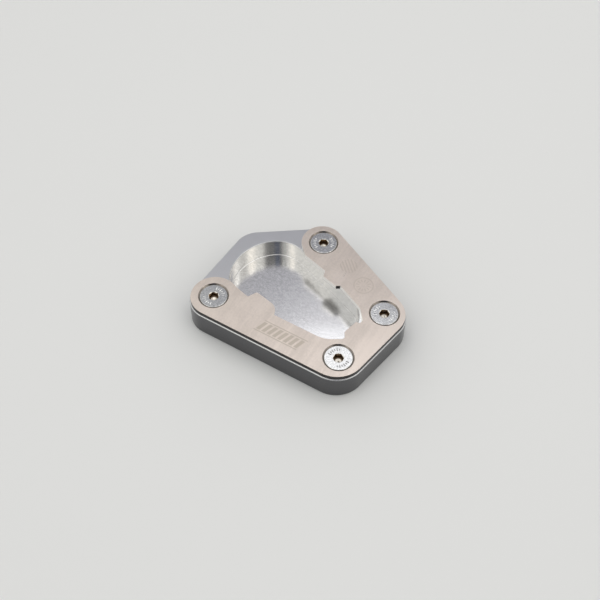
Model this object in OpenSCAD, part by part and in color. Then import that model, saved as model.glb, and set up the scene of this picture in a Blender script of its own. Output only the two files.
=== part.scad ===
// Side-stand foot enlarger: a milled aluminium base with a pocket for the
// stand's foot, a sheet cover whose inner edge grips that foot, and four
// countersunk screws that clamp the cover to the base.
// Plan positions are measured from the front left screw. centred() then puts
// the origin at the middle of the underside.

/* [Base] */
// Height of the base
base_h = 12; // [10.5:0.5:16]
// How far the base stands out past the cover all round
base_rim = 0.5; // [0.2:0.1:1.5]
// Bevel along the base's top edge
top_bevel = 0.3; // [0.2:0.1:1]
// Bevel along the base's bottom edge
bottom_bevel = 0.4; // [0.2:0.1:1]

/* [Cover] */
// Thickness of the cover sheet
cover_t = 2; // [1.5:0.1:3]
// Radius of the lobe round the front left screw
front_left_r = 10.3; // [9:0.1:11.5]
// Radius of the front right corner
front_right_r = 12.6; // [11:0.1:14]
// Radius of the right corner
right_r = 11.4; // [10:0.1:13]
// Radius of the lobe round the back screw
back_r = 9.4; // [8.5:0.1:10.5]

/* [Screws] */
// Nominal diameter of the screws
screw_d = 6; // [5:0.5:7]
// Overall length of a screw, head included
screw_len = 12; // [9:0.5:13]
// Diameter of the countersunk head
head_d = 12; // [10.5:0.1:12.4]
// Height of the straight rim round the head
head_land = 0.3; // [0.1:0.1:0.5]
// Outer diameter of the countersink in the cover
sink_d = 13.4; // [12.6:0.1:14]
// Hexagon socket, across its flats
hex_af = 4; // [3:0.5:5]
// Depth of the hexagon socket
hex_depth = 2.4; // [1.5:0.1:2.8]
// Clearance between a screw and its seat
screw_gap = 0.05; // [0.02:0.01:0.1]

/* [Screw positions] */
// Distance between the two front screws
front_span = 61.6; // [56:0.1:66]
// Right screw, to the right of the front left one
right_x = 67.4; // [64:0.1:72]
// Right screw, behind the front left one
right_y = 29.6; // [26:0.1:34]
// Back screw, to the right of the front left one
back_x = 25.8; // [22:0.1:30]
// Back screw, behind the front left one
back_y = 50.2; // [48:0.1:56]

/* [Left corner of the base] */
// Centre of the corner, to the right of the front left screw
left_x = 2.6; // [1:0.1:5]
// Centre of the corner, behind the front left screw
left_y = 32; // [29:0.1:35]
// Radius of the corner
left_r = 11.5; // [9:0.1:12]

/* [Pocket] */
// Depth of the pocket
pocket_depth = 9.5; // [6:0.5:10]
// Radius of the pocket's wide end
heel_r = 22; // [20:0.1:22.5]
// Centre of the wide end, to the right of the front left screw
heel_x = 19; // [18:0.1:22]
// Centre of the wide end, behind the front left screw
heel_y = 23.2; // [21:0.1:24]
// Radius of the shoulder between the wide end and the back wall
shoulder_r = 14.3; // [10:0.1:18]
// Radius of the pocket's narrow end
toe_r = 12; // [9:0.1:13]
// Centre of the narrow end, to the left of the right screw
toe_from_right = 19.8; // [19:0.1:21.4]
// Centre of the narrow end, behind the front left screw
toe_y = 18.6; // [17.5:0.1:20]
// Front wall of the pocket, behind the front screws
front_wall_y = 4.2; // [3.5:0.1:6]
// Bevel round the pocket's mouth
mouth_bevel = 0.3; // [0.1:0.1:0.6]

/* [Cover's inner edge] */
// How far the cover's front edge reaches over the pocket's front wall
front_lip = 0.5; // [0.2:0.1:1.5]
// How far the cover's back edge reaches over the pocket's back wall
back_lip = 0.1; // [0:0.1:1]
// How far the back tab reaches over the pocket, past the back edge
back_tab = 2.5; // [1:0.1:3.5]
// Start of the back tab along the back wall, from the middle of the narrow end
back_tab_s = 9.3; // [8:0.1:11]
// Length of the back tab along the back wall
back_tab_len = 7.5; // [5:0.1:9]
// How far the front tab reaches over the pocket, past the front edge
front_tab = 6.4; // [4.8:0.1:7]
// Left end of the front tab, to the right of the front left screw
front_tab_x = 15.1; // [14:0.1:17]
// Length of the front tab
front_tab_len = 10.7; // [8:0.1:13]

/* [Hidden] */
$fn = 96;
cut = 0.01;
// Arcs are drawn so finely that a chord lies no further than this inside them
chord_sag = 0.01;
total_h = base_h + cover_t;

// Corners as [x, y, radius], anticlockwise from the front left
front_left = [0.4, 0, front_left_r];
front_right = [front_span - 2.3, front_right_r - front_left_r, front_right_r];
right = [right_x - 2, right_y - 1.5, right_r];
back = [back_x - 0.5, back_y - 0.2, back_r];
left = [left_x, left_y, left_r];
cover_corners = [front_left, front_right, right, back];
base_corners = concat([for (c = cover_corners) [c[0], c[1], c[2] + base_rim]], [left]);

// Screws as [x, y, turn of the hexagon]
screw_places = [[0, 0, 12], [front_span, 0, 31], [right_x, right_y, 27], [back_x, back_y, 30]];
bore_r = screw_d / 2 + screw_gap;
bore_mouth = 0.6;
sink_h = sink_d / 2 - bore_r;
rim_z = total_h - (sink_d / 2 - screw_gap - head_d / 2);
neck_z = rim_z - (head_d - screw_d) / 2;
head_z = rim_z + head_land;
tip_z = head_z - screw_len;
tip_bevel = 0.7;
hex_r = hex_af / 2 / cos(30);
hex_mouth = 0.25;
hex_drill = 0.9;

// The pocket is a closed belt round six circles. Where one circle lies inside
// its neighbour and touches it, arc runs into arc with no straight between.
shoulder_turn = 131;
heel_corner_r = 8;
toe_corner_r = 6;
toe_x = right_x - toe_from_right;
bow_x = toe_x - 1.2;
bow_r = 24.5;
heel = [heel_x, heel_y, heel_r];
shoulder = let (p = [heel_x, heel_y] + (heel_r - shoulder_r) * dir(shoulder_turn))
    [p.x, p.y, shoulder_r];
toe = [toe_x, toe_y, toe_r];
bow = [bow_x, front_wall_y + bow_r, bow_r];
toe_corner = let (x = toe_x + toe_r - toe_corner_r)
    [x, bow[1] - sqrt(pow(bow_r - toe_corner_r, 2) - pow(x - bow_x, 2)), toe_corner_r];
heel_corner = let (y = front_wall_y + heel_corner_r)
    [heel_x - sqrt(pow(heel_r - heel_corner_r, 2) - pow(heel_y - y, 2)), y, heel_corner_r];
pocket = [heel_corner, bow, toe_corner, toe, shoulder, heel];
floor_z = base_h - pocket_depth;

// The cover's inner edge leaves the back lobe, follows the pocket's back wall
// with one gripping tab, steps round the toe, and comes back along the front
// wall with a second tab before it runs into the front left lobe. Its corners
// are [point, corner radius].
front_edge = front_wall_y + front_lip;
lobe_end = 61;
inner_edge = [
    [beside_wall(30.9, 1.35), 1],
    [beside_wall(back_tab_s + back_tab_len + 1.9, back_lip), 0.3],
    [beside_wall(back_tab_s + back_tab_len, back_lip + back_tab), 0.8],
    [beside_wall(back_tab_s, back_lip + back_tab - 0.8), 0.2],
    [beside_wall(back_tab_s - 1.2, back_lip), 0.3],
    [beside_wall(-6.5, back_lip + 1.1), 3],
    [from_toe(13.6, 2.9), 0.5],
    [from_toe(13.4, 1.1), 0.5],
    [from_toe(11.6, 0.7), 0.4],
    [from_toe(9.9, -6.3), 1.5],
    [from_toe(11.4, -8.5), 0.4],
    [from_toe(11, -9.7), 0.3],
    [[bow_x + 5.5, front_edge], bow_r / 2],
    [[front_tab_x + front_tab_len + 1.9, front_edge], 0.3],
    [[front_tab_x + front_tab_len, front_edge + front_tab - 2.1], 5],
    [[front_tab_x, front_edge + front_tab], 0.8],
    [[front_tab_x - 2.2, front_edge + front_tab - 4], 0.6]];

function dir(a) = [cos(a), sin(a)];
function unit(v) = v / norm(v);
function last(list) = list[len(list) - 1];

// A point by the pocket's straight back wall: s along it, from the toe to the
// shoulder, and h in front of it, over the pocket
function beside_wall(s, h) = let (n = normal(toe, shoulder))
    [toe_x, toe_y] + (toe_r - h) * dir(n) + s * dir(n + 90);

function from_toe(x, y) = [toe_x + x, toe_y + y];

// Angle of the outward normal where a belt runs straight from circle a to b
function normal(a, b) =
    let (d = [b[0] - a[0], b[1] - a[1]], slope = (a[2] - b[2]) / norm(d))
    atan2(d.y, d.x) - acos(max(-1, min(1, slope)));

// Degrees that one chord spans on an arc of radius r
function chord_turn(r) = 2 * acos(1 - chord_sag / r);

// Points on circle c, anticlockwise from angle a to angle b, moved inwards
function arc(c, a, b, inset = 0) =
    let (turn = (b - a + 720) % 360, steps = ceil(turn / chord_turn(c[2])))
    [for (i = [0:steps]) [c[0], c[1]] + (c[2] - inset) * dir(a + turn * i / steps)];

function no_doubles(points) = let (n = len(points))
    [for (i = [0:n - 1]) if (norm(points[i] - points[(i + 1) % n]) > cut) points[i]];

// A belt that runs anticlockwise round the circles, moved inwards
function belt(circles, inset = 0) =
    let (n = len(circles), turns = [for (i = [0:n - 1]) normal(circles[i], circles[(i + 1) % n])])
    no_doubles([for (i = [0:n - 1]) each arc(circles[i], turns[(i + n - 1) % n], turns[i], inset)]);

// Points of the arc of radius r that rounds the corner p between a and b
function fillet(a, p, b, r) =
    let (u = unit(a - p), v = unit(b - p), half = acos(u * v) / 2,
         c = p + unit(u + v) * r / sin(half),
         s = p + u * r / tan(half) - c, e = p + v * r / tan(half) - c,
         start = atan2(s.y, s.x), turn = (atan2(e.y, e.x) - start + 540) % 360 - 180,
         steps = ceil(abs(turn) / chord_turn(r)))
    [for (i = [0:steps]) c + r * dir(start + turn * i / steps)];

// The path from point a to point b over the given corners, each one rounded
function rounded(a, corners, b) =
    let (path = concat([[a, 0]], corners, [[b, 0]]))
    [for (i = [1:len(corners)])
        each fillet(path[i - 1][0], path[i][0], path[i + 1][0], path[i][1])];

// The cover's outline: round the outside from one lobe to the other, and back
// along the inner edge
function cover_outline() =
    let (exit = inner_edge[0][0],
         front = normal(front_left, front_right),
         side = normal(front_right, right),
         rear = normal(right, back),
         outside = concat(
             arc(front_left, lobe_end, front), arc(front_right, front, side),
             arc(right, side, rear), arc(back, rear, normal(back, [exit.x, exit.y, 0]))))
    concat(outside, rounded(last(outside), inner_edge, outside[0]));

// Moves the plan from the front left screw to the middle of the base's box
module centred() {
    low = [for (k = [0, 1]) min([for (c = base_corners) c[k] - c[2]])];
    high = [for (k = [0, 1]) max([for (c = base_corners) c[k] + c[2]])];
    translate(-(low + high) / 2) children();
}

// A solid with a belt for its plan, drawn through levels of [height, inset]
module belt_solid(circles, levels) {
    rings = [for (level = levels) [for (p = belt(circles, level[1])) [p.x, p.y, level[0]]]];
    n = len(rings[0]);
    polyhedron(
        points = [for (ring = rings) each ring],
        faces = [
            [for (i = [0:n - 1]) i],
            [for (i = [0:n - 1]) len(levels) * n - 1 - i],
            for (k = [0:len(levels) - 2]) for (i = [0:n - 1])
                [k * n + i, (k + 1) * n + i, (k + 1) * n + (i + 1) % n, k * n + (i + 1) % n]]);
}

module at_screws() {
    for (p = screw_places) translate([p[0], p[1], 0]) rotate(p[2]) children();
}

// The bore and countersink of one screw, through both plates
module screw_seat() {
    translate([0, 0, -cut]) cylinder(h = total_h, r = bore_r);
    translate([0, 0, -cut]) cylinder(h = bore_mouth + cut, r1 = bore_r + bore_mouth + cut, r2 = bore_r);
    translate([0, 0, total_h - sink_h]) cylinder(h = sink_h + cut, r1 = bore_r, r2 = sink_d / 2 + cut);
}

module foot_base() {
    color("silver") centred() difference() {
        belt_solid(base_corners, [
            [0, bottom_bevel], [bottom_bevel, 0], [base_h - top_bevel, 0], [base_h, top_bevel]]);
        belt_solid(pocket, [
            [floor_z, 0], [base_h - mouth_bevel, 0], [base_h + cut, -mouth_bevel - cut]]);
        at_screws() screw_seat();
    }
}

module cover_plate() {
    color("antiquewhite") centred() difference() {
        translate([0, 0, base_h]) linear_extrude(cover_t) polygon(cover_outline());
        at_screws() screw_seat();
    }
}

// A countersunk screw with a hexagon socket
module screw() {
    difference() {
        rotate_extrude() polygon([
            [0, tip_z], [screw_d / 2 - tip_bevel, tip_z], [screw_d / 2, tip_z + tip_bevel],
            [screw_d / 2, neck_z], [head_d / 2, rim_z], [head_d / 2, head_z], [0, head_z]]);
        translate([0, 0, head_z - hex_depth]) cylinder(h = hex_depth + cut, r = hex_r, $fn = 6);
        translate([0, 0, head_z - hex_depth - hex_drill])
            cylinder(h = hex_drill + cut, r1 = 0, r2 = hex_af / 2 - cut);
        translate([0, 0, head_z - hex_mouth])
            cylinder(h = hex_mouth + cut, r1 = hex_af / 2 - cut, r2 = hex_r + 2 * cut);
    }
}

module cover_screws() {
    color("gainsboro") centred() at_screws() screw();
}

foot_base();
cover_plate();
cover_screws();
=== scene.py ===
"""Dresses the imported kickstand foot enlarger: milled base, cover plate and screws, on a pale studio floor.

All lengths are in metres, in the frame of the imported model: +Z up, the underside on z = 0.
"""

import math
from functools import reduce

import bmesh
import bpy
from bpy.props import FloatProperty, FloatVectorProperty, IntProperty, PointerProperty
from mathutils import Matrix, Vector
from mathutils.bvhtree import BVHTree


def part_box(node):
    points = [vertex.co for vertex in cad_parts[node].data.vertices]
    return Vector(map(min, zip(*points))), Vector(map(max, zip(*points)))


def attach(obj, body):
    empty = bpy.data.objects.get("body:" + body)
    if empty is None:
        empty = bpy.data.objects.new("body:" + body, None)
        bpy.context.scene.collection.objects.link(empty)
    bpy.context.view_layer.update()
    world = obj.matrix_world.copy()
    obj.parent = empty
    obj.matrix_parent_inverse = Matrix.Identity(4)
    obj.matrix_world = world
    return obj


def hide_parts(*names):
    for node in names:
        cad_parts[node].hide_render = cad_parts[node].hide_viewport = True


bl_info = {
    "name": "Kickstand foot enlarger",
    "version": (1, 0, 0),
    "blender": (4, 5, 0),
    "location": "View3D > Sidebar > Enlarger",
    "description": "Finishes, marks and studio for a kickstand foot enlarger",
    "category": "Add Mesh",
}

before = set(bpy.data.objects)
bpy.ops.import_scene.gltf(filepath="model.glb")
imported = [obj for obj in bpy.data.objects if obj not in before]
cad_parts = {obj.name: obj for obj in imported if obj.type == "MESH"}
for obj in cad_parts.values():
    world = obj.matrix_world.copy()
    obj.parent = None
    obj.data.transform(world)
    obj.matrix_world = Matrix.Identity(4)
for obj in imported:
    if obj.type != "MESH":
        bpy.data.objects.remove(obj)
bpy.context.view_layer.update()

MM = 0.001
BASE_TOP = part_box("foot_base")[1].z
COVER_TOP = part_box("cover_plate")[1].z
HEAD_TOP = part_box("cover_screws")[1].z
SCREW_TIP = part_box("cover_screws")[0].z

# Two points that agree within this distance are one
WELD = 0.002 * MM
# Faces that turn less than this from one to the next lie in one plane
FLAT_TURN = math.radians(0.3)
# Edges sharper than this stay crisp, and the rest are shaded round
CRISP_TURN = math.radians(25)
# By the z of its normal a face is level over the first of these, slopes over the second, and is upright
# under the third
LEVEL = 0.9
SLOPING = 0.3
UPRIGHT = 0.1
# Reach and depth of the screws' hexagon sockets, and a depth that their drilled points don't get to
SOCKET_REACH = 2.4 * MM
SOCKET_DEPTH = 2.4 * MM
BELOW_POINT = 4 * MM
# A bore lies nearer than this to its screw's axis, and the rim of the screw's head lies farther
BORE_REACH = 5 * MM


def length(name, description, millimetres):
    """A length that a user can change, given here in millimetres."""
    return FloatProperty(
        name=name, description=description, default=millimetres * MM, min=0.0, precision=5, unit="LENGTH"
    )


def share(name, description, default, top=1.0):
    """A plain factor from 0 to top."""
    return FloatProperty(
        name=name, description=description, default=default, min=0.0, max=top, subtype="FACTOR"
    )


def colour(name, description, default):
    """A linear colour."""
    return FloatVectorProperty(
        name=name, description=description, default=default, size=3, min=0.0, max=1.0, subtype="COLOR"
    )


class EnlargerForms(bpy.types.PropertyGroup):
    """Small forms that are added to the solids."""

    base_edge: length("Base edge", "Break of the milled base's edges", 0.08)
    floor_fillet: length("Floor fillet", "Fillet that the cutter leaves round the pocket's floor", 0.25)
    cover_edge: length("Cover edge", "Break of the cover's cut edges", 0.06)
    head_edge: length("Head edge", "Rounding of the screw heads' edges", 0.25)
    point_depth: length("Point depth", "Depth of the drill's point at the sockets' ends", 0.35)
    mark_length: length("Mark length", "Length of a long raised mark on a screw head", 1.5)
    mark_width: length("Mark width", "Width of a raised mark", 0.42)
    mark_height: length("Mark height", "Height of a raised mark over the head", 0.14)
    mark_ring: length("Mark ring", "Radius of the ring that the marks stand on", 4.1)
    mark_step: FloatProperty(
        name="Mark step", description="Turn from one mark to the next", default=math.radians(14),
        subtype="ANGLE",
    )
    mark_count: IntProperty(
        name="Marks", description="Marks in each of a head's two groups", default=6, min=1
    )
    thread_pitch: length("Thread pitch", "Pitch of the thread in the base's bores", 1.0)
    thread_crest: length("Thread crest", "Radius at the thread's crest", 2.6)
    thread_root: length("Thread root", "Radius at the thread's root, just inside the bore's wall", 3.06)


class EnlargerFinishes(bpy.types.PropertyGroup):
    """Colours and gloss of the metals."""

    aluminium: colour("Aluminium", "Satin top of the base", (0.545, 0.545, 0.565))
    # The sides' dark colour is a painted reflection of dark surroundings, darker than the metal's own tone
    side: colour("Side", "Milled sides of the base", (0.12, 0.12, 0.125))
    # The chamfer colour also paints a highlight spot on the base's top
    chamfer: colour("Chamfer", "Bright chamfers and burnished spot of the base", (0.95, 0.95, 0.94))
    pocket: colour("Pocket", "Freshly milled wall of the pocket", (0.9, 0.885, 0.85))
    # The wall's darker narrow end is painted shade
    pocket_end_shade: colour("Pocket end", "Wall of the pocket at its narrow end", (0.74, 0.735, 0.72))
    pocket_floor: colour("Pocket floor", "Floor of the pocket", (0.745, 0.735, 0.735))
    # The floor's bright narrow end is a painted highlight
    floor_end_highlight: colour("Floor end", "Floor of the pocket at its narrow end", (0.93, 0.925, 0.92))
    stainless: colour("Stainless", "Faces of the cover plate", (0.72, 0.636, 0.568))
    # The cut edge's dark colour is a painted reflection of dark surroundings
    cut_edge_shade: colour("Cut edge", "Outer edge of the cover plate, dark from the cut", (0.05, 0.047, 0.045))
    # The underside's pale colour is painted light, and the patch under the back tab is painted shadow
    underside: colour("Underside", "Underside of the cover plate", (0.95, 0.95, 0.93))
    tab_shadow: colour("Mill scale", "Scale left under the cover's back tab", (0.55, 0.55, 0.54))
    # The inner edges' light colour is a painted reflection of the bright base
    inner_edge_lit: colour("Inner edge", "Inner edges of the cover plate, milled clean", (0.92, 0.9, 0.87))
    etching: colour("Etching", "Etched marks on the cover plate", (0.5, 0.44, 0.37))
    screw: colour("Screw", "Heads and shanks of the screws", (0.73, 0.73, 0.72))
    socket: colour("Socket", "Inside of the hexagon sockets", (0.3, 0.2, 0.12))
    satin: share("Satin", "Roughness of the base's outside", 0.34)
    milled: share("Milled", "Roughness of the pocket's wall", 0.14)
    floor_gloss: share("Floor gloss", "Roughness of the pocket's floor", 0.205)
    brushed: share("Brushed", "Roughness of the cover plate", 0.36)
    bright: share("Bright", "Roughness of the screws", 0.17)


class EnlargerStudio(bpy.types.PropertyGroup):
    """Camera, floor and light."""

    camera_place: FloatVectorProperty(
        name="Camera", description="Where the camera stands", default=(0.1209, -0.2165, 0.342), unit="LENGTH"
    )
    camera_target: FloatVectorProperty(
        name="Target", description="Point in the middle of the picture", default=(-0.00034, -0.00753, 0.014),
        unit="LENGTH",
    )
    camera_roll: FloatProperty(
        name="Roll", description="Turn of the camera about its axis", default=math.radians(0.7),
        subtype="ANGLE",
    )
    lens: FloatProperty(
        name="Lens", description="Focal length on a 36 mm sensor", default=57.0, unit="CAMERA"
    )
    floor: colour("Floor", "Plain floor under the object", (0.8, 0.8, 0.79))
    floor_side: length("Floor side", "Side of the floor", 8000)
    world_level: share("World", "Level of the studio's walls", 1.25, 4.0)
    softbox_width: length("Softbox width", "Size of the softbox along X", 650)
    softbox_depth: length("Softbox depth", "Size of the softbox along Y", 905)
    softbox_place: FloatVectorProperty(
        name="Softbox", description="Middle of the softbox", default=(0.005, 0.1225, 0.9), unit="LENGTH"
    )
    softbox_level: share("Softbox level", "Radiance of the softbox", 1.1, 4.0)


class Wire:
    """An output socket that Python's arithmetic works on."""

    def __init__(self, graph, socket):
        self.graph = graph
        self.socket = socket

    def math(self, operation, *others):
        values = dict(enumerate((self, *others)))
        return self.graph.node("ShaderNodeMath", {"operation": operation}, values)

    def __add__(self, other):
        return self.math("ADD", other)

    def __sub__(self, other):
        return self.math("SUBTRACT", other)

    def __mul__(self, other):
        return self.math("MULTIPLY", other)

    def __truediv__(self, other):
        return self.math("DIVIDE", other)

    def __rsub__(self, other):
        return (self * -1) + other

    __radd__ = __add__
    __rmul__ = __mul__

    def __abs__(self):
        return self.math("ABSOLUTE")

    def either(self, other):
        """The larger of two masks."""
        return self.math("MAXIMUM", other)

    def both(self, other):
        """The smaller of two masks."""
        return self.math("MINIMUM", other)


class Graph:
    """The nodes of one material or of the world."""

    def __init__(self, owner):
        owner.use_nodes = True
        self.tree = owner.node_tree
        self.tree.nodes.clear()

    def node(self, kind, settings=None, inputs=None, output=0):
        """Adds a node: its settings first, then its inputs' values or links. Gives the output as a Wire."""
        made = self.tree.nodes.new(kind)
        for name, value in (settings or {}).items():
            setattr(made, name, value)
        for name, value in (inputs or {}).items():
            if isinstance(value, Wire):
                self.tree.links.new(value.socket, made.inputs[name])
            else:
                made.inputs[name].default_value = value
        return Wire(self, made.outputs[output]) if made.outputs else made

    def axes(self, vector):
        """A vector's x, y and z."""
        return [self.node("ShaderNodeSeparateXYZ", inputs={0: vector}, output=k) for k in range(3)]

    def place(self):
        """Coordinates in millimetres on the piece, as a vector and as x, y and z."""
        here = self.node("ShaderNodeTexCoord", output="Object")
        scaled = self.node("ShaderNodeVectorMath", {"operation": "SCALE"}, {0: here, "Scale": 1 / MM})
        return scaled, self.axes(scaled)

    def noise(self, vector, stretch, detail=2.0):
        """Noise whose grains are about 1 / stretch millimetres along each axis."""
        at = self.node("ShaderNodeVectorMath", {"operation": "MULTIPLY"}, {0: vector, 1: stretch})
        inputs = {"Vector": at, "Scale": 1.0, "Detail": detail}
        return self.node("ShaderNodeTexNoise", inputs=inputs, output="Fac")

    def ease(self, value, low, high):
        """0 below low, 1 above high, and smooth between them. With low above high it falls."""
        return self.node(
            "ShaderNodeMapRange",
            {"interpolation_type": "SMOOTHSTEP"},
            {"Value": value, "From Min": low, "From Max": high},
        )

    def mix(self, factor, first, second):
        """A colour between two colours."""
        first, second = (c if isinstance(c, Wire) else (*c, 1) for c in (first, second))
        return self.node("ShaderNodeMix", {"data_type": "RGBA"}, {0: factor, 6: first, 7: second}, output=2)

    def shades(self, factor, shade, darkest, lightest):
        """A colour that goes from its darkest to its lightest tint with the factor."""
        return self.mix(factor, tint(shade, darkest), tint(shade, lightest))

    def bump(self, height, depth):
        """A normal from a height of 0 to 1 that stands for depth in metres."""
        return self.node("ShaderNodeBump", inputs={"Height": height, "Distance": depth, "Strength": 1.0})

    def metal(self, base_colour, roughness, normal=None, stretch=0.0):
        """Ends a material in a plain metal. Stretch draws its gloss out, upright on an upright wall."""
        inputs = {"Base Color": base_colour, "Roughness": roughness, "Metallic": 1.0}
        if stretch:
            inputs.update({"Anisotropic": stretch, "Anisotropic Rotation": 0.25})
        if normal:
            inputs["Normal"] = normal
        shader = self.node("ShaderNodeBsdfPrincipled", inputs=inputs)
        self.node("ShaderNodeOutputMaterial", inputs={"Surface": shader})


def tint(value, factor):
    """A colour made lighter or darker."""
    return tuple(min(1.0, c * factor) for c in value)


def distance_in_plan(x, y, centre):
    """Distance in plan from a centre, in millimetres."""
    dx, dy = x - centre[0], y - centre[1]
    return (dx * dx + dy * dy).math("SQRT")


def new_material(name):
    """A material and its empty graph."""
    material = bpy.data.materials.new(name)
    return material, Graph(material)


# Middle, radius and soft edge of a painted highlight spot on the base's top, in millimetres
HIGHLIGHT_SPOT_CENTRE = (26.3, -1.0)
HIGHLIGHT_SPOT_RADIUS = 5.0
HIGHLIGHT_SPOT_SOFT = 0.5


def satin_aluminium(finish):
    """The base's top and underside: a satin with fine grain and faint clouds, and a painted highlight on top.
    """
    material, g = new_material("satin_aluminium")
    vector, (x, y, z) = g.place()
    clouds = g.noise(vector, (0.09, 0.12, 0.3))
    grain = g.noise(vector, (5, 5, 5), 3)
    lines = g.noise(vector, (0.25, 0.25, 4.5))
    # Painted highlight: a soft spot of the chamfer colour on the base's top
    radius = distance_in_plan(x, y, HIGHLIGHT_SPOT_CENTRE)
    painted_highlight = g.ease(radius, HIGHLIGHT_SPOT_RADIUS + HIGHLIGHT_SPOT_SOFT, HIGHLIGHT_SPOT_RADIUS - HIGHLIGHT_SPOT_SOFT)
    on_top = g.ease(z, BASE_TOP / MM - 2, BASE_TOP / MM - 1)
    painted_highlight = painted_highlight.both(on_top)
    shade = g.mix(painted_highlight, g.shades(clouds, finish.aluminium, 0.94, 1.06), finish.chamfer)
    roughness = finish.satin + (grain - 0.5) * 0.08 - painted_highlight * 0.14
    g.metal(shade, roughness, g.bump(grain * 0.6 + lines * 0.4, 0.003 * MM))
    return material


def milled_side(finish):
    """The base's sides: painted darker as a painted reflection of dark surroundings, with the level lines
    that the side of the cutter leaves.
    """
    material, g = new_material("milled_side")
    vector, _ = g.place()
    lines = g.noise(vector, (0.06, 0.06, 5), 3)
    bands = g.noise(vector, (0.03, 0.03, 0.8))
    clouds = g.noise(vector, (0.12, 0.12, 0.05))
    shade = g.shades(lines * 0.5 + bands * 0.25 + clouds * 0.25, finish.side, 0.75, 1.3)
    g.metal(shade, finish.satin - 0.1 + (lines - 0.5) * 0.12, g.bump(lines, 0.006 * MM))
    return material


def bright_chamfer(finish):
    """The chamfers along the base's edges: bright, with the cutter's fine lines."""
    material, g = new_material("bright_chamfer")
    vector, _ = g.place()
    grain = g.noise(vector, (1.5, 1.5, 6), 3)
    shade = g.shades(grain, finish.chamfer, 0.6, 0.75)
    g.metal(shade, finish.satin - 0.06 + (grain - 0.5) * 0.1, g.bump(grain, 0.003 * MM))
    return material


# Painted shade darkens the pocket's wall between these two places along X, in millimetres
WALL_SHADE_SPAN = (0.0, 11.0)


def milled_wall(finish):
    """The pocket's wall: bright, with painted shade at its narrow end, and fine lines that run round it."""
    material, g = new_material("milled_wall")
    vector, (x, _, _) = g.place()
    lines = g.noise(vector, (0.02, 0.02, 7), 3)
    bands = g.noise(vector, (0.05, 0.05, 0.9))
    shade = g.shades(bands, finish.pocket, 0.95, 1.03)
    # Painted shade towards the wall's narrow end
    shade = g.mix(g.ease(x, *WALL_SHADE_SPAN), shade, finish.pocket_end_shade)
    g.metal(shade, finish.milled + (lines - 0.5) * 0.06, g.bump(lines, 0.0006 * MM), stretch=0.8)
    return material


# The cutter's swirls on the pocket's floor, in millimetres: their middle, their pitch, and where they
# set in along X and round their middle
SWIRL_CENTRE = (9.0, 1.0)
SWIRL_PITCH = 2.3
SWIRL_START = (-2.0, 10.0)
SWIRL_HOLE = (6.0, 12.0)
# A painted highlight brightens the floor where the narrow end meets the front wall, growing with x - y *
# slant
FLOOR_SLANT = 1.5
FLOOR_HIGHLIGHT_SPAN = (12.0, 34.0)


def milled_floor(finish):
    """The pocket's floor: glossy, with a mottled grain drawn out along it and swirls at its narrow end."""
    material, g = new_material("milled_floor")
    vector, (x, y, _) = g.place()
    strokes = g.noise(vector, (0.4, 1.0, 1), 3)
    grain = g.noise(vector, (1.25, 2.2, 1), 2)
    specks = g.noise(vector, (2.4, 3.2, 1), 2)
    radius = distance_in_plan(x, y, SWIRL_CENTRE)
    wobble = g.noise(vector, (0.25, 0.25, 1))
    swirl = (radius * (2 * math.pi / SWIRL_PITCH) + wobble * 12).math("SINE") * 0.5
    swirled = g.ease(x, *SWIRL_START) * g.ease(radius, *SWIRL_HOLE)
    mottle = strokes * 0.15 + grain * 0.6 + specks * 0.25
    tooled = mottle + swirl * swirled * 0.09
    # Painted highlight towards the floor's narrow end
    floor_highlight = g.ease(x - y * FLOOR_SLANT, *FLOOR_HIGHLIGHT_SPAN)
    dark = g.mix(floor_highlight, tint(finish.pocket_floor, 0.88), tint(finish.floor_end_highlight, 0.92))
    light = g.mix(floor_highlight, tint(finish.pocket_floor, 1.12), tint(finish.floor_end_highlight, 1.07))
    shade = g.mix(g.ease(tooled, 0.3, 0.7), dark, light)
    roughness = finish.floor_gloss + (mottle - 0.5) * 0.06
    g.metal(shade, roughness, g.bump(tooled, 0.0006 * MM))
    return material


def bore_wall(finish):
    """The screw bores: painted darker, as painted shade since little light gets in, and for the cutting oil
    that stays there.
    """
    material, g = new_material("bore_wall")
    vector, _ = g.place()
    rings = g.noise(vector, (0.6, 0.6, 6))
    shade = g.shades(rings, finish.aluminium, 0.6, 0.85)
    g.metal(shade, finish.satin, g.bump(rings, 0.01 * MM))
    return material


# Etched patches on the cover plate, in millimetres. A bar's or a line's width is a share of its pitch,
# and the ticks' middle is a share of the dial's radius.
HATCH_CENTRE = (1.9, -27.3)
HATCH_HALF = (10.4, 3.2)
HATCH_SLANT = 0.35
HATCH_PITCH = 2.6
HATCH_BAR_SHARE = 0.62
HATCH_RULE = 0.45
DIAL_CENTRE = (19.3, 13.4)
DIAL_RADIUS = 4.2
DIAL_RING_HALF = 0.3
DIAL_TICKS = 12
DIAL_TICK_SHARE = 0.62
DIAL_TICK_HALF = (0.28, 0.75)
DISC_CENTRE = (8.6, 19.5)
DISC_RADIUS = 3.9
DISC_PITCH = 1.9
DISC_LINE_SHARE = 0.5
ETCH_SOFT = 0.12


def inside(g, distance, limit):
    """1 where a distance in millimetres is under the limit, with a soft edge."""
    return g.ease(distance, limit + ETCH_SOFT, limit - ETCH_SOFT)


def stripes(g, value, pitch, share_of_pitch):
    """Parallel bars across a value in millimetres."""
    phase = (value / pitch).math("FRACT")
    return inside(g, abs(phase - 0.5) * pitch, pitch * share_of_pitch / 2)


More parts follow.
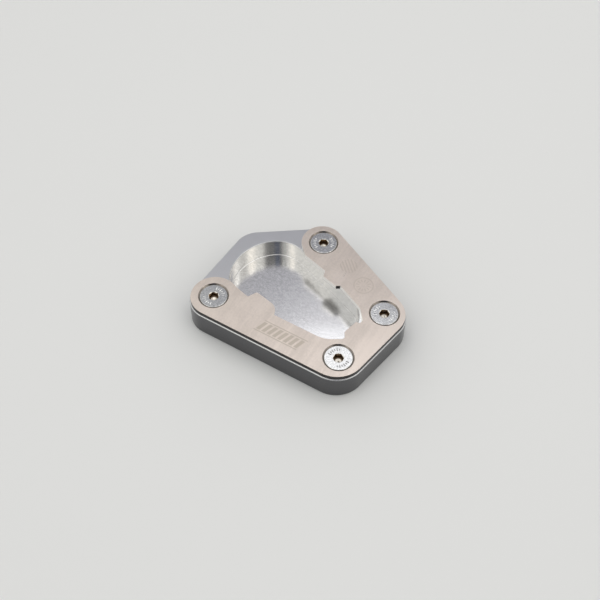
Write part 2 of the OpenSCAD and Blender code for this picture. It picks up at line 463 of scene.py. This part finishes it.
def hatched_block(g, x, y):
    """A slanting block of plain bars between two rules, with gaps as wide as the rules."""
    along = x - HATCH_CENTRE[0] - (y - HATCH_CENTRE[1]) * HATCH_SLANT
    across = abs(y - HATCH_CENTRE[1])
    block = inside(g, abs(along), HATCH_HALF[0]).both(inside(g, across, HATCH_HALF[1]))
    core = inside(g, across, HATCH_HALF[1] - 2 * HATCH_RULE)
    rules = 1 - inside(g, across, HATCH_HALF[1] - HATCH_RULE)
    return block.both(rules.either(core.both(stripes(g, along, HATCH_PITCH, HATCH_BAR_SHARE))))


def tick_dial(g, x, y):
    """A plain ring with evenly spaced ticks inside it."""
    radius = distance_in_plan(x, y, DIAL_CENTRE)
    ring = inside(g, abs(radius - DIAL_RADIUS), DIAL_RING_HALF)
    bearing = (y - DIAL_CENTRE[1]).math("ARCTAN2", x - DIAL_CENTRE[0])
    turn = bearing / (2 * math.pi) * DIAL_TICKS
    beside = abs(turn.math("FRACT") - 0.5) * radius * (2 * math.pi / DIAL_TICKS)
    along = abs(radius - DIAL_RADIUS * DIAL_TICK_SHARE)
    ticks = inside(g, beside, DIAL_TICK_HALF[0]).both(inside(g, along, DIAL_TICK_HALF[1]))
    return ring.either(ticks)


def hatched_disc(g, x, y):
    """A plain disc of slanting lines."""
    disc = inside(g, distance_in_plan(x, y, DISC_CENTRE), DISC_RADIUS)
    across = (x - DISC_CENTRE[0]) + (y - DISC_CENTRE[1])
    return disc.both(stripes(g, across, DISC_PITCH, DISC_LINE_SHARE))


# A painted highlight brightens the cover's right corner between these two places along X, in millimetres
CORNER_HIGHLIGHT = (29.0, 39.0)


def brushed_stainless(finish):
    """The cover's faces: warm grey, brushed across, softly clouded, with plain etched patches."""
    material, g = new_material("brushed_stainless")
    vector, (x, y, z) = g.place()
    clouds = g.noise(vector, (0.11, 0.1, 0.1), 3)
    streaks = g.noise(vector, (0.5, 0.03, 0.1))
    brush = g.noise(vector, (7, 0.25, 1), 3)
    specks = g.noise(vector, (1.2, 0.9, 1), 3)
    cloudy = clouds * 0.3 + streaks * 0.3 + brush * 0.15 + specks * 0.25
    # Painted highlight on the cover's right corner
    painted_lighter = g.ease(x, *CORNER_HIGHLIGHT)
    shade = g.shades(g.ease(cloudy + painted_lighter * 0.16, 0.34, 0.66), finish.stainless, 0.9, 1.1)
    on_top = g.ease(z, COVER_TOP / MM - 0.3, COVER_TOP / MM - 0.1)
    bold = hatched_block(g, x, y).both(on_top)
    faint = tick_dial(g, x, y).either(hatched_disc(g, x, y)).both(on_top)
    etched = bold * 0.75 + faint * 0.4
    shade = g.mix(etched, shade, finish.etching)
    roughness = finish.brushed + (brush - 0.5) * 0.14 - g.ease(streaks, 0.5, 0.75) * 0.07 + etched * 0.12
    g.metal(shade, roughness, g.bump(brush * (1 - etched * 0.3), 0.004 * MM))
    return material


def cut_steel_edge(finish, name, painted_lightening=1.0):
    """The cover's cut edges: painted dark, in lighter painted steps, with the upright grooves that a cutting
    beam leaves.
    """
    material, g = new_material(name)
    vector, _ = g.place()
    grooves = g.noise(vector, (5, 5, 0.25), 2)
    # Painted reflection: dark, lifted in painted steps where the edge faces the base
    shade = g.shades(grooves, finish.cut_edge_shade, 0.7 * painted_lightening, 1.5 * painted_lightening)
    g.metal(shade, finish.brushed, g.bump(grooves, 0.02 * MM))
    return material


def bright_edge(finish):
    """The cover's inner edges: painted light as a reflection of the bright base, with upright lines."""
    material, g = new_material("bright_edge")
    vector, _ = g.place()
    grooves = g.noise(vector, (5, 5, 0.25), 2)
    shade = g.shades(grooves, finish.inner_edge_lit, 0.9, 1.08)
    g.metal(shade, finish.brushed - 0.08, g.bump(grooves, 0.004 * MM))
    return material


# Middle of the back tab in plan, and how far from it the painted shadow under the tab ends, in millimetres
TAB_CENTRE = (6.0, 10.5)
TAB_SHADOW_ENDS = (7.0, 4.5)


def cover_underside(finish):
    """The cover's underside: painted pale to lift its shade, with a painted shadow under the back tab."""
    material, g = new_material("cover_underside")
    vector, (x, y, _) = g.place()
    clouds = g.noise(vector, (0.3, 0.3, 1), 4)
    radius = distance_in_plan(x, y, TAB_CENTRE)
    painted_shadow = g.ease(radius + clouds * 2, *TAB_SHADOW_ENDS)
    shade = g.mix(painted_shadow, finish.underside, finish.tab_shadow)
    g.metal(shade, finish.brushed + 0.1 + clouds * 0.06, g.bump(clouds, 0.002 * MM))
    return material


def countersink_face(finish):
    """The cover's countersinks: turned in rings, and darkened as painted shade in the gap round the screw
    heads.
    """
    material, g = new_material("countersink_face")
    vector, _ = g.place()
    rings = g.noise(vector, (0.4, 0.4, 8))
    shade = g.shades(rings, finish.stainless, 0.3, 0.5)
    g.metal(shade, finish.bright, g.bump(rings, 0.004 * MM))
    return material


def bright_screw_steel(finish):
    """The screws: bright, with a fine scattered grain."""
    material, g = new_material("bright_screw_steel")
    vector, _ = g.place()
    grain = g.noise(vector, (4, 4, 4), 4)
    spots = g.noise(vector, (1.3, 1.3, 1.3), 3)
    shade = g.shades(g.ease(spots, 0.3, 0.7), finish.screw, 0.84, 1.08)
    g.metal(shade, finish.bright + (grain - 0.5) * 0.12, g.bump(grain, 0.005 * MM))
    return material


# Colour of the darkening on the marks: painted shade at their foot
MARK_SHADE_COLOUR = (0.03, 0.028, 0.025)


def raised_mark_steel(finish, name, dark_top):
    """Raised marks: bright on top, and darker from their foot up to a height over the head; at the foot it is
    painted shade.
    """
    material, g = new_material(name)
    vector, (_, _, z) = g.place()
    grain = g.noise(vector, (4, 4, 4))
    foot = g.ease(z, (HEAD_TOP + dark_top) / MM + 0.02, (HEAD_TOP + dark_top) / MM - 0.02)
    painted_darkening = foot.both(1 - grain * 0.4)
    shade = g.mix(painted_darkening, tint(finish.screw, 1.35), MARK_SHADE_COLOUR)
    g.metal(shade, finish.bright + 0.1 + painted_darkening * 0.2)
    return material


def socket_steel(finish):
    """The sockets' sides: brown, darker towards their foot as painted shade, with upright marks."""
    material, g = new_material("socket_steel")
    vector, (_, _, z) = g.place()
    marks = g.noise(vector, (3, 3, 0.4), 3)
    # Painted shade: darker towards the socket's foot
    height = g.ease(z, (HEAD_TOP - SOCKET_DEPTH) / MM + 0.5, HEAD_TOP / MM - 0.6)
    painted_half_shade = g.ease(marks, 0.35, 0.65) * 0.5 + height * 0.5
    shade = g.shades(painted_half_shade, finish.socket, 0.15, 1.5)
    g.metal(shade, 0.25 + marks * 0.15, g.bump(marks, 0.01 * MM))
    return material


# Darkest and lightest painted light at the sockets' ends, and how far from the middle it reaches, in
# millimetres
LIT_STEEL = ((0.92, 0.86, 0.76), (1.0, 0.97, 0.9))
LIT_ENDS = (1.6, 1.0)


def socket_point(finish):
    """The drill's point with painted light in its middle and painted shade round it, and the mouth's painted
    highlight.
    """
    material, g = new_material("socket_point")
    vector, (x, y, z) = g.place()
    grain = g.noise(vector, (3, 3, 3))
    radius = reduce(Wire.both, [distance_in_plan(x, y, axis / MM) for axis in SCREW_AXES])
    mouth = g.ease(z, HEAD_TOP / MM - 0.6, HEAD_TOP / MM - 0.4)
    # Painted light in the socket's middle and on the mouth's chamfer, painted shade round it
    painted_lit = g.ease(radius, *LIT_ENDS).either(mouth)
    shade = g.mix(painted_lit, tint(finish.socket, 0.35), g.mix(grain, *LIT_STEEL))
    g.metal(shade, 0.3 + grain * 0.15)
    return material


def copy_of_node(node, name):
    """A piece with a CAD node's form, its flat faces merged and its round faces shaded round."""
    piece = bpy.data.objects.new(name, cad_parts[node].data.copy())
    bpy.context.scene.collection.objects.link(piece)
    piece.data.materials.clear()
    mesh = bmesh.new()
    mesh.from_mesh(piece.data)
    bmesh.ops.remove_doubles(mesh, verts=mesh.verts, dist=WELD)
    bmesh.ops.dissolve_limit(mesh, angle_limit=FLAT_TURN, verts=mesh.verts, edges=mesh.edges)
    for face in mesh.faces:
        face.smooth = True
    return piece, mesh


def put_back(piece, mesh):
    """Writes the edited mesh to its piece and marks the crisp edges."""
    mesh.to_mesh(piece.data)
    mesh.free()
    piece.data.set_sharp_from_angle(angle=CRISP_TURN)


def paint_faces(piece, mesh, materials, choose):
    """Gives each face the material that choose names for it."""
    slots = {}
    for name, material in materials.items():
        slots[name] = len(piece.data.materials)
        piece.data.materials.append(material)
    for face in mesh.faces:
        face.material_index = slots[choose(face)]


def weigh_edges(mesh, weight_of):
    """Gives each crisp edge the share of a bevel's width that weight_of names for it, and the rest none."""
    weight = mesh.edges.layers.float.new("bevel_weight_edge")
    for edge in mesh.edges:
        edge[weight] = weight_of(edge) if edge.calc_face_angle(0) > CRISP_TURN else 0.0


def at_height(edge, height):
    """Whether both ends of an edge are at a height."""
    return all(abs(v.co.z - height) < WELD for v in edge.verts)


def break_edges(piece, width, segments=2, limit="ANGLE"):
    """Breaks the crisp edges and keeps the flat faces flat in shade."""
    bevel = piece.modifiers.new("edge_break", "BEVEL")
    bevel.width = width
    bevel.segments = segments
    bevel.limit_method = limit
    bevel.angle_limit = CRISP_TURN
    bevel.use_clamp_overlap = False
    bevel.miter_outer = "MITER_ARC"
    weighted = piece.modifiers.new("flat_faces", "WEIGHTED_NORMAL")
    weighted.keep_sharp = True
    weighted.weight = 80


def stands_for(piece, node):
    """The piece takes a CAD node's place and rides where it did."""
    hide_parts(node)
    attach(piece, "root")


def added_piece(name, mesh, materials):
    """A piece from an edited mesh that no CAD node has."""
    bmesh.ops.recalc_face_normals(mesh, faces=mesh.faces)
    piece = bpy.data.objects.new(name, bpy.data.meshes.new(name))
    bpy.context.scene.collection.objects.link(piece)
    for material in materials:
        piece.data.materials.append(material)
    put_back(piece, mesh)
    return piece


def screw_axes():
    """The middle of each screw in plan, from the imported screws, from left to right."""
    mesh = bmesh.new()
    mesh.from_mesh(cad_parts["cover_screws"].data)
    bmesh.ops.remove_doubles(mesh, verts=mesh.verts, dist=WELD)
    left = set(mesh.verts)
    axes = []
    while left:
        island, edge = set(), [left.pop()]
        while edge:
            vert = edge.pop()
            island.add(vert)
            for link in vert.link_edges:
                other = link.other_vert(vert)
                if other in left:
                    left.remove(other)
                    edge.append(other)
        xs = [v.co.x for v in island]
        ys = [v.co.y for v in island]
        axes.append(Vector(((min(xs) + max(xs)) / 2, (min(ys) + max(ys)) / 2)))
    mesh.free()
    return sorted(axes, key=lambda axis: axis.x)


def tree_of(node):
    """A search tree of a CAD node's faces."""
    mesh = bmesh.new()
    mesh.from_mesh(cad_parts[node].data)
    tree = BVHTree.FromBMesh(mesh)
    mesh.free()
    return tree


SCREW_AXES = screw_axes()
BASE_TREE = tree_of("foot_base")
POCKET_FLOOR = min(
    v.co.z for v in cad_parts["foot_base"].data.vertices if 1 * MM < v.co.z < BASE_TOP - 1 * MM
)


def base_below(face, ahead=0.7 * MM):
    """Height of the base ahead of an upright face, seen from above, or None past its rim."""
    front = face.calc_center_median() + Vector((*face.normal.xy.normalized(), 0)) * ahead
    front.z = COVER_TOP + MM
    hit = BASE_TREE.ray_cast(front, Vector((0, 0, -1)))[0]
    return hit.z if hit else None


def nearest_axis(point):
    """Distance in plan from a point to the nearest screw's axis."""
    return min((point.xy - axis).length for axis in SCREW_AXES)


def base_face_kind(face):
    """Which finish a face of the base has."""
    middle = face.calc_center_median()
    if abs(face.normal.z) > LEVEL:
        return "floor" if abs(middle.z - POCKET_FLOOR) < WELD else "satin"
    if nearest_axis(middle) < BORE_REACH:
        return "bore"
    if face.normal.z > SLOPING:
        return "chamfer"
    return "side" if base_below(face) is None else "wall"


class ENLARGER_OT_foot_base(bpy.types.Operator):
    """Make the milled base, with a fillet round its pocket's floor"""

    bl_idname = "enlarger.foot_base"
    bl_label = "Foot base"

    def execute(self, context):
        forms, finish = context.scene.enlarger_forms, context.scene.enlarger_finishes
        piece, mesh = copy_of_node("foot_base", "milled_base")
        materials = {
            "satin": satin_aluminium(finish),
            "side": milled_side(finish),
            "chamfer": bright_chamfer(finish),
            "wall": milled_wall(finish),
            "floor": milled_floor(finish),
            "bore": bore_wall(finish),
        }
        paint_faces(piece, mesh, materials, base_face_kind)
        weigh_edges(mesh, lambda edge: 1.0 if at_height(edge, POCKET_FLOOR) else 0.0)
        put_back(piece, mesh)
        fillet = piece.modifiers.new("floor_fillet", "BEVEL")
        fillet.width = forms.floor_fillet
        fillet.segments = 4
        fillet.limit_method = "WEIGHT"
        fillet.use_clamp_overlap = False
        break_edges(piece, forms.base_edge)
        stands_for(piece, "foot_base")
        return {"FINISHED"}


# The ridge starts over the bevelled mouth at a bore's lower end, and keeps clear of the screw's end
BORE_MOUTH = 0.6 * MM
THREAD_CLEAR = 0.05 * MM
# Steps in a turn of the ridge, and the fewest that it has
THREAD_STEPS = 48
FEWEST_STEPS = 8
# Half the ridge's height at its root as a share of the pitch, and half its crest as a share of that
RIDGE_SHARE = 0.42
CREST_SHARE = 0.15
# The ridge runs out into the wall over one part in this many at each end
RUN_OUT = 6


def thread_ridge(mesh, axis, forms):
    """The ridge that winds up one bore's wall, from its mouth to the screw's end."""
    root, pitch = forms.thread_root, forms.thread_pitch
    half = pitch * RIDGE_SHARE
    turns = (SCREW_TIP - 2 * half - BORE_MOUTH - THREAD_CLEAR) / pitch + 0.5
    steps = max(FEWEST_STEPS, int(turns * THREAD_STEPS))
    last = None
    for i in range(steps + 1):
        angle = 2 * math.pi * turns * i / steps
        out = Vector((math.cos(angle), math.sin(angle), 0))
        middle = Vector((axis.x, axis.y, BORE_MOUTH + half / 2 + pitch * turns * i / steps))
        taper = min(1.0, RUN_OUT * i / steps, RUN_OUT * (steps - i) / steps)
        crest = root + (forms.thread_crest - root) * taper
        flat = half * CREST_SHARE
        profile = ((root, -half), (crest, -flat), (crest, flat), (root, half))
        ring = [mesh.verts.new(middle + out * r + Vector((0, 0, dz))) for r, dz in profile]
        if last:
            for k in range(4):
                mesh.faces.new((last[k], last[(k + 1) % 4], ring[(k + 1) % 4], ring[k]))
        else:
            mesh.faces.new(ring)
        last = ring
    mesh.faces.new(list(reversed(last)))


class ENLARGER_OT_bore_threads(bpy.types.Operator):
    """Make the thread that shows in the base's bores, below the screws' ends"""

    bl_idname = "enlarger.bore_threads"
    bl_label = "Bore threads"

    def execute(self, context):
        forms, finish = context.scene.enlarger_forms, context.scene.enlarger_finishes
        mesh = bmesh.new()
        for axis in SCREW_AXES:
            thread_ridge(mesh, axis, forms)
        for face in mesh.faces:
            face.smooth = True
        piece = added_piece("bore_threads", mesh, [bore_wall(finish)])
        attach(piece, "root")
        return {"FINISHED"}


# Which way the back tab's end looks in plan, along the pocket's back wall towards its narrow end
TAB_END_LOOKS = Vector((0.79, -0.61)).normalized()
# The tab's end lies further back than this, and looks that way where the two directions agree this well
TAB_FRONT = 4 * MM
SAME_WAY = 0.9
# An upright edge gets a half-shaded painted colour where the base ends less than the first ahead of it, and a
# lighter painted colour where it ends less than the second ahead
HALF_SHADE_REACH = 2 * MM
LIGHTER_REACH = 5 * MM


def cover_face_kind(face):
    """Which finish a face of the cover has."""
    if face.normal.z < -LEVEL:
        return "underside"
    if face.normal.z > LEVEL:
        return "sheet"
    if face.normal.z > SLOPING:
        return "sink"
    if base_below(face) is None:
        return "cut"
    if base_below(face, HALF_SHADE_REACH) is None:
        return "painted_half_shade"
    if base_below(face, LIGHTER_REACH) is None:
        return "painted_lighter"
    # The back tab's end face takes the dark cut colour as painted shade
    looks_along = face.normal.xy.dot(TAB_END_LOOKS) > SAME_WAY
    at_tab_end = looks_along and face.calc_center_median().y > TAB_FRONT
    return "cut" if at_tab_end else "inner"


class ENLARGER_OT_cover_plate(bpy.types.Operator):
    """Make the brushed cover plate with its etched patches"""

    bl_idname = "enlarger.cover_plate"
    bl_label = "Cover plate"

    def execute(self, context):
        forms, finish = context.scene.enlarger_forms, context.scene.enlarger_finishes
        piece, mesh = copy_of_node("cover_plate", "cover_sheet")
        materials = {
            "sheet": brushed_stainless(finish),
            "underside": cover_underside(finish),
            "cut": cut_steel_edge(finish, "cut_steel_edge"),
            "painted_half_shade": cut_steel_edge(finish, "half_shaded_steel_edge", painted_lightening=3),
            "painted_lighter": cut_steel_edge(finish, "lighter_painted_steel_edge", painted_lightening=7),
            "inner": bright_edge(finish),
            "sink": countersink_face(finish),
        }
        paint_faces(piece, mesh, materials, cover_face_kind)
        put_back(piece, mesh)
        break_edges(piece, forms.cover_edge)
        stands_for(piece, "cover_plate")
        return {"FINISHED"}


def at_socket_end(face):
    """Whether a face of a screw is the flat end of its socket."""
    return abs(face.calc_center_median().z - HEAD_TOP + SOCKET_DEPTH) < WELD and face.normal.z > LEVEL


def screw_face_kind(face):
    """Which finish a face of a screw has."""
    middle = face.calc_center_median()
    in_depth = HEAD_TOP - BELOW_POINT < middle.z < HEAD_TOP - WELD
    if not (in_depth and nearest_axis(middle) < SOCKET_REACH):
        return "bright"
    return "socket" if abs(face.normal.z) < UPRIGHT else "point"


# Every edge of a screw but its head's rim is broken by this share of the rim's rounding
SCREW_BREAK = 0.15


def screw_edge_weight(edge):
    """The share of the rounding that an edge of a screw gets."""
    outside = all(nearest_axis(v.co) > BORE_REACH for v in edge.verts)
    return 1.0 if outside and at_height(edge, HEAD_TOP) else SCREW_BREAK


class ENLARGER_OT_cover_screws(bpy.types.Operator):
    """Make the four countersunk screws"""

    bl_idname = "enlarger.cover_screws"
    bl_label = "Cover screws"

    def execute(self, context):
        forms, finish = context.scene.enlarger_forms, context.scene.enlarger_finishes
        piece, mesh = copy_of_node("cover_screws", "countersunk_screws")
        materials = {
            "bright": bright_screw_steel(finish),
            "socket": socket_steel(finish),
            "point": socket_point(finish),
        }
        poked = bmesh.ops.poke(mesh, faces=[face for face in mesh.faces if at_socket_end(face)])
        for vert in poked["verts"]:
            vert.co.z -= forms.point_depth
        mesh.normal_update()
        paint_faces(piece, mesh, materials, screw_face_kind)
        weigh_edges(mesh, screw_edge_weight)
        put_back(piece, mesh)
        break_edges(piece, forms.head_edge, segments=3, limit="WEIGHT")
        stands_for(piece, "cover_screws")
        return {"FINISHED"}


# Turn of each head's marks in degrees, for the screws from left to right, and which head's marks are dark all
# the way up
HEAD_TURNS = (70, 32, 148, 5)
DARK_MARKED_HEAD = 2
# Every second mark is shorter by this factor, and on the other heads painted shade darkens this share of a
# mark at its foot
SHORT_MARK = 0.6
FOOT_SHADE_SHARE = 0.15
# A mark goes down into the head by its sink. Its sides stand upright up to a share of its height, and
# its top is drawn in by a share of its width.
MARK_END_SIDES = 5
MARK_SINK = 0.02 * MM
MARK_SHOULDER = 0.6
MARK_DRAWN_IN = 0.2


def raised_bar(mesh, middle, direction, reach, forms):
    """A bar of the given length with round ends and a narrower top, which stands on a screw head."""
    side = Vector((-direction.y, direction.x, 0))
    half = forms.mark_width / 2
    levels = (
        (-MARK_SINK, half),
        (forms.mark_height * MARK_SHOULDER, half),
        (forms.mark_height, half - forms.mark_width * MARK_DRAWN_IN),
    )
    rings = []
    for level, radius in levels:
        ring = []
        for end in (1, -1):
            for i in range(MARK_END_SIDES + 1):
                angle = math.pi * (i / MARK_END_SIDES - 0.5)
                along = direction * end * (reach / 2 - half + radius * math.cos(angle))
                across = side * end * radius * math.sin(angle)
                ring.append(mesh.verts.new(middle + along + across + Vector((0, 0, level))))
        rings.append(ring)
    count = len(rings[0])
    for lower, upper in zip(rings, rings[1:]):
        for i in range(count):
            mesh.faces.new((lower[i], lower[(i + 1) % count], upper[(i + 1) % count], upper[i]))
    mesh.faces.new(rings[-1])
    mesh.faces.new(list(reversed(rings[0])))


def mark_head(mesh, axis, turn, forms):
    """The two groups of raised bars on one screw head, across from each other."""
    for group in (0, math.pi):
        for i in range(forms.mark_count):
            angle = turn + group + (i - (forms.mark_count - 1) / 2) * forms.mark_step
            out = Vector((math.cos(angle), math.sin(angle), 0))
            middle = Vector((axis.x, axis.y, HEAD_TOP)) + out * forms.mark_ring
            raised_bar(mesh, middle, out, forms.mark_length * (1 if i % 2 else SHORT_MARK), forms)


class ENLARGER_OT_head_marks(bpy.types.Operator):
    """Make two groups of raised marks on each screw head"""

    bl_idname = "enlarger.head_marks"
    bl_label = "Head marks"

    def execute(self, context):
        forms, finish = context.scene.enlarger_forms, context.scene.enlarger_finishes
        materials = [
            raised_mark_steel(finish, "raised_mark_steel", forms.mark_height * FOOT_SHADE_SHARE),
            raised_mark_steel(finish, "dark_mark_steel", forms.mark_height),
        ]
        mesh = bmesh.new()
        for head, (axis, turn) in enumerate(zip(SCREW_AXES, HEAD_TURNS)):
            first = len(mesh.faces)
            mark_head(mesh, axis, math.radians(turn), forms)
            mesh.faces.ensure_lookup_table()
            for face in mesh.faces[first:]:
                face.material_index = 1 if head == DARK_MARKED_HEAD else 0
        piece = added_piece("screw_head_marks", mesh, materials)
        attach(piece, "root")
        return {"FINISHED"}


# The studio's walls over eye height, as shares of the world's level. A panel has its azimuth, half its
# width and the softness of its edges in degrees, and its colour. Azimuth 0 is the front, and 90 the
# right side.
WALL_COLOUR = (0.72, 0.725, 0.71)
WALL_PANELS = (
    ("dim back wall", -170, 34, 10, (0.265, 0.268, 0.298)),
    ("left strip light", -114, 9, 7, (1.0, 0.98, 0.94)),
    ("front strip light", -28, 9, 7, (1.05, 1.03, 0.98)),
    ("grey edge of the flag", 2, 8, 7, (0.4, 0.41, 0.41)),
    ("dark flag at the front right", 38, 28, 6, (0.11, 0.112, 0.115)),
    ("blue gap in the flag", 28, 8, 6, (0.05, 0.065, 0.11)),
    ("right strip light", 99, 8, 7, (1.2, 1.17, 1.1)),
    ("grey right wall", 126, 12, 9, (0.52, 0.52, 0.51)),
    ("back strip light", 158, 9, 8, (0.75, 0.735, 0.7)),
)
# Below the walls the horizon is plain. Straight above, behind the softbox, the ceiling is dark. Each
# meets the walls between two heights in degrees.
HORIZON_COLOUR = (0.7, 0.7, 0.7)
HORIZON_MEETS = (18, 32)
CEILING_COLOUR = (0.05, 0.05, 0.05)
CEILING_MEETS = (71, 79)


def over_heights(g, z, heights):
    """0 below the first of two heights in degrees, 1 above the second, and smooth between them."""
    return g.ease(z, *(math.sin(math.radians(height)) for height in heights))


def studio_world(studio):
    """Pale walls, with soft brighter and darker panels above eye height that the metal mirrors."""
    world = bpy.data.worlds.new("studio")
    g = Graph(world)
    x, y, z = g.axes(g.node("ShaderNodeTexCoord", output="Generated"))
    azimuth = x.math("ARCTAN2", y * -1) * (180 / math.pi)
    shade = WALL_COLOUR
    for _, centre, half, soft, panel in WALL_PANELS:
        away = abs((azimuth - centre).math("WRAP", 180, -180))
        shade = g.mix(g.ease(away, half + soft, half - soft), shade, panel)
    shade = g.mix(over_heights(g, z, HORIZON_MEETS), HORIZON_COLOUR, shade)
    shade = g.mix(over_heights(g, z, CEILING_MEETS), shade, CEILING_COLOUR)
    light = g.node("ShaderNodeBackground", inputs={"Color": shade, "Strength": studio.world_level})
    g.node("ShaderNodeOutputWorld", inputs={"Surface": light})
    return world


def pale_floor(studio):
    """The studio's floor: plain and dull."""
    material, g = new_material("pale_floor")
    paint = g.node("ShaderNodeBsdfPrincipled", inputs={"Base Color": (*studio.floor, 1), "Roughness": 0.7})
    g.node("ShaderNodeOutputMaterial", inputs={"Surface": paint})
    return material


# The floor lies this far under the object, so that the two faces don't share a plane
FLOOR_DROP = 0.02 * MM


class ENLARGER_OT_stage(bpy.types.Operator):
    """Make the camera, the pale floor and the soft light"""

    bl_idname = "enlarger.stage"
    bl_label = "Stage"

    def execute(self, context):
        studio = context.scene.enlarger_studio
        self.add_camera(context, studio)
        self.add_floor(context, studio)
        self.add_softbox(context, studio)
        context.scene.world = studio_world(studio)
        context.scene.view_settings.view_transform = "Standard"
        return {"FINISHED"}

    def add_camera(self, context, studio):
        data = bpy.data.cameras.new("camera")
        data.lens = studio.lens
        data.sensor_width = 36
        data.clip_start = 0.01
        camera = bpy.data.objects.new("camera", data)
        context.scene.collection.objects.link(camera)
        place = Vector(studio.camera_place)
        look = (Vector(studio.camera_target) - place).normalized()
        right = look.cross(Vector((0, 0, 1))).normalized()
        right.rotate(Matrix.Rotation(-studio.camera_roll, 3, look))
        up = right.cross(look)
        turn = Matrix((right, up, -look)).transposed()
        camera.matrix_world = Matrix.Translation(place) @ turn.to_4x4()
        context.scene.camera = camera

    def add_floor(self, context, studio):
        half = studio.floor_side / 2
        plan = ((-half, -half), (half, -half), (half, half), (-half, half))
        corners = [(x, y, -FLOOR_DROP) for x, y in plan]
        data = bpy.data.meshes.new("floor")
        data.from_pydata(corners, [], [(0, 1, 2, 3)])
        data.materials.append(pale_floor(studio))
        floor = bpy.data.objects.new("floor", data)
        context.scene.collection.objects.link(floor)

    def add_softbox(self, context, studio):
        data = bpy.data.lights.new("softbox", "AREA")
        data.shape = "RECTANGLE"
        data.size = studio.softbox_width
        data.size_y = studio.softbox_depth
        data.energy = studio.softbox_level * math.pi * studio.softbox_width * studio.softbox_depth
        softbox = bpy.data.objects.new("softbox", data)
        softbox.location = studio.softbox_place
        context.scene.collection.objects.link(softbox)


class ENLARGER_PT_panel(bpy.types.Panel):
    """Lists the enlarger's pieces, forms, finishes and studio"""

    bl_label = "Foot enlarger"
    bl_idname = "ENLARGER_PT_panel"
    bl_space_type = "VIEW_3D"
    bl_region_type = "UI"
    bl_category = "Enlarger"

    def draw(self, context):
        for operator in OPERATORS:
            self.layout.operator(operator.bl_idname)
        for group in GROUPS:
            values = getattr(context.scene, group)
            box = self.layout.box()
            for name in values.__annotations__:
                box.prop(values, name)


OPERATORS = (
    ENLARGER_OT_stage,
    ENLARGER_OT_foot_base,
    ENLARGER_OT_bore_threads,
    ENLARGER_OT_cover_plate,
    ENLARGER_OT_cover_screws,
    ENLARGER_OT_head_marks,
)
GROUPS = {
    "enlarger_forms": EnlargerForms,
    "enlarger_finishes": EnlargerFinishes,
    "enlarger_studio": EnlargerStudio,
}
CLASSES = (*GROUPS.values(), *OPERATORS, ENLARGER_PT_panel)


def register():
    """Registers the add-on's classes and its settings on the scene."""
    for cls in CLASSES:
        bpy.utils.register_class(cls)
    for name, cls in GROUPS.items():
        setattr(bpy.types.Scene, name, PointerProperty(type=cls))


def unregister():
    """Takes the add-on's classes and settings away again."""
    for name in GROUPS:
        delattr(bpy.types.Scene, name)
    for cls in reversed(CLASSES):
        bpy.utils.unregister_class(cls)


def main():
    """Builds everything."""
    register()
    for operator in OPERATORS:
        group, name = operator.bl_idname.split(".")
        getattr(getattr(bpy.ops, group), name)()


if __name__ == "__main__":
    main()
